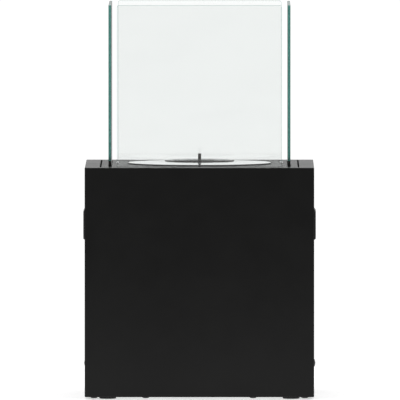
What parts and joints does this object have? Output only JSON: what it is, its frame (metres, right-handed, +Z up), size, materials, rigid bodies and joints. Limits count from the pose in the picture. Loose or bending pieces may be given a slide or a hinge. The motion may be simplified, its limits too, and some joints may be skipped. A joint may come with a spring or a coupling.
{
  "type": "outdoor gas heater",
  "caption": "Cubic steel outdoor gas heater with a round burner in its top plate, a surround of upright glass panes, and a rear door to the gas bottle bay.",
  "frame": {"origin": "the floor under the middle of the heater's footprint", "axes": "+Z up; the front faces -Y; the door and the gas controls face +Y; +X is to the right of someone facing the front"},
  "size_m": [0.5098, 0.532, 0.8573],
  "materials": {
    "black_paint": "fine-textured satin powder coat",
    "polished_steel": "polished stainless steel",
    "burner_steel": "satin stainless steel",
    "zinc_steel": "zinc-plated steel",
    "dark_steel": "heat-darkened steel",
    "axle_steel": "dark zinc-plated steel",
    "clear_glass": "clear toughened float glass, polished edges",
    "black_plastic": "fine-grained moulded plastic",
    "black_rubber": "matt moulded rubber",
    "tyre_rubber": "solid rubber tyre",
    "brass": "machined brass",
    "copper": "drawn copper",
    "ceramic": "white ceramic",
    "silicone": "red silicone lead"
  },
  "bodies": {
    "casing": {"casing_wrap": "black_paint", "burner_plate": "black_paint", "rear_panel": "black_paint", "hinge_fixed_leaf_lower": "black_paint", "hinge_fixed_leaf_upper": "black_paint", "base_bolt_1": "black_paint", "base_bolt_2": "black_paint", "base_bolt_3": "black_paint", "base_bolt_4": "black_paint", "base_plate": "zinc_steel", "plate_support": "zinc_steel", "heat_shield": "zinc_steel", "wheel_bracket_left": "zinc_steel", "wheel_bracket_right": "zinc_steel", "tab_screw_front": "zinc_steel", "tab_screw_rear": "zinc_steel", "tab_screw_left": "zinc_steel", "tab_screw_right": "zinc_steel", "glass_channel_front": "black_paint", "glass_channel_rear": "black_paint", "glass_channel_left": "black_paint", "glass_channel_right": "black_paint", "glass_front": "clear_glass", "glass_rear": "clear_glass", "glass_left": "clear_glass", "glass_right": "clear_glass", "burner_ring": "polished_steel", "burner_bowl": "burner_steel", "mixing_tube": "burner_steel", "burner_annulus": "dark_steel", "flame_sensor": "dark_steel", "axle_bolt_left": "axle_steel", "axle_bolt_right": "axle_steel", "spark_electrode": "ceramic", "gas_injector": "brass", "valve_body": "brass", "gas_pipe": "copper", "sensor_lead": "copper", "ignition_lead": "silicone", "control_panel": "black_plastic", "igniter_housing": "black_plastic", "handle_left": "black_plastic", "handle_right": "black_plastic", "foot_front_left": "black_rubber", "foot_front_right": "black_rubber", "foot_rear_left": "black_rubber", "foot_rear_right": "black_rubber"},
    "door": {"door_panel": "black_paint", "hinge_door_leaf_lower": "black_paint", "hinge_door_leaf_upper": "black_paint"},
    "latch": {"latch_knob": "black_plastic", "latch_cam": "zinc_steel"},
    "valve_sleeve": {"valve_sleeve": "brass"},
    "knob": {"valve_spindle": "brass", "control_knob": "black_plastic"},
    "igniter_button": {"igniter_button": "black_plastic"},
    "wheel_left": {"tyre_left": "tyre_rubber", "wheel_disc_left": "black_plastic"},
    "wheel_right": {"tyre_right": "tyre_rubber", "wheel_disc_right": "black_plastic"}
  },
  "joints": [
    {"name": "door_hinge", "type": "hinge", "parent": "casing", "child": "door", "pos_m": [0.181, 0.2383, 0.235], "axis": [0, 0, -1], "range_deg": [0, 115]},
    {"name": "latch_turn", "type": "hinge", "parent": "door", "child": "latch", "pos_m": [-0.15, 0.234, 0.235], "axis": [0, 1, 0], "range_deg": [0, 90]},
    {"name": "knob_push", "type": "slide", "parent": "casing", "child": "valve_sleeve", "axis": [0, -1, 0], "range_m": [0, 0.003], "stiffness_N_per_m": 800, "springref_m": -0.002},
    {"name": "knob_turn", "type": "hinge", "parent": "valve_sleeve", "child": "knob", "pos_m": [-0.164, 0.24, 0.455], "axis": [0, 1, 0], "range_deg": [0, 210]},
    {"name": "igniter_push", "type": "slide", "parent": "casing", "child": "igniter_button", "axis": [0, -1, 0], "range_m": [0, 0.005], "stiffness_N_per_m": 500, "springref_m": -0.003},
    {"name": "wheel_left_spin", "type": "hinge", "parent": "casing", "child": "wheel_left", "pos_m": [-0.213, 0.199, 0.058], "axis": [1, 0, 0], "continuous": true},
    {"name": "wheel_right_spin", "type": "hinge", "parent": "casing", "child": "wheel_right", "pos_m": [0.213, 0.199, 0.058], "axis": [1, 0, 0], "continuous": true}
  ]
}
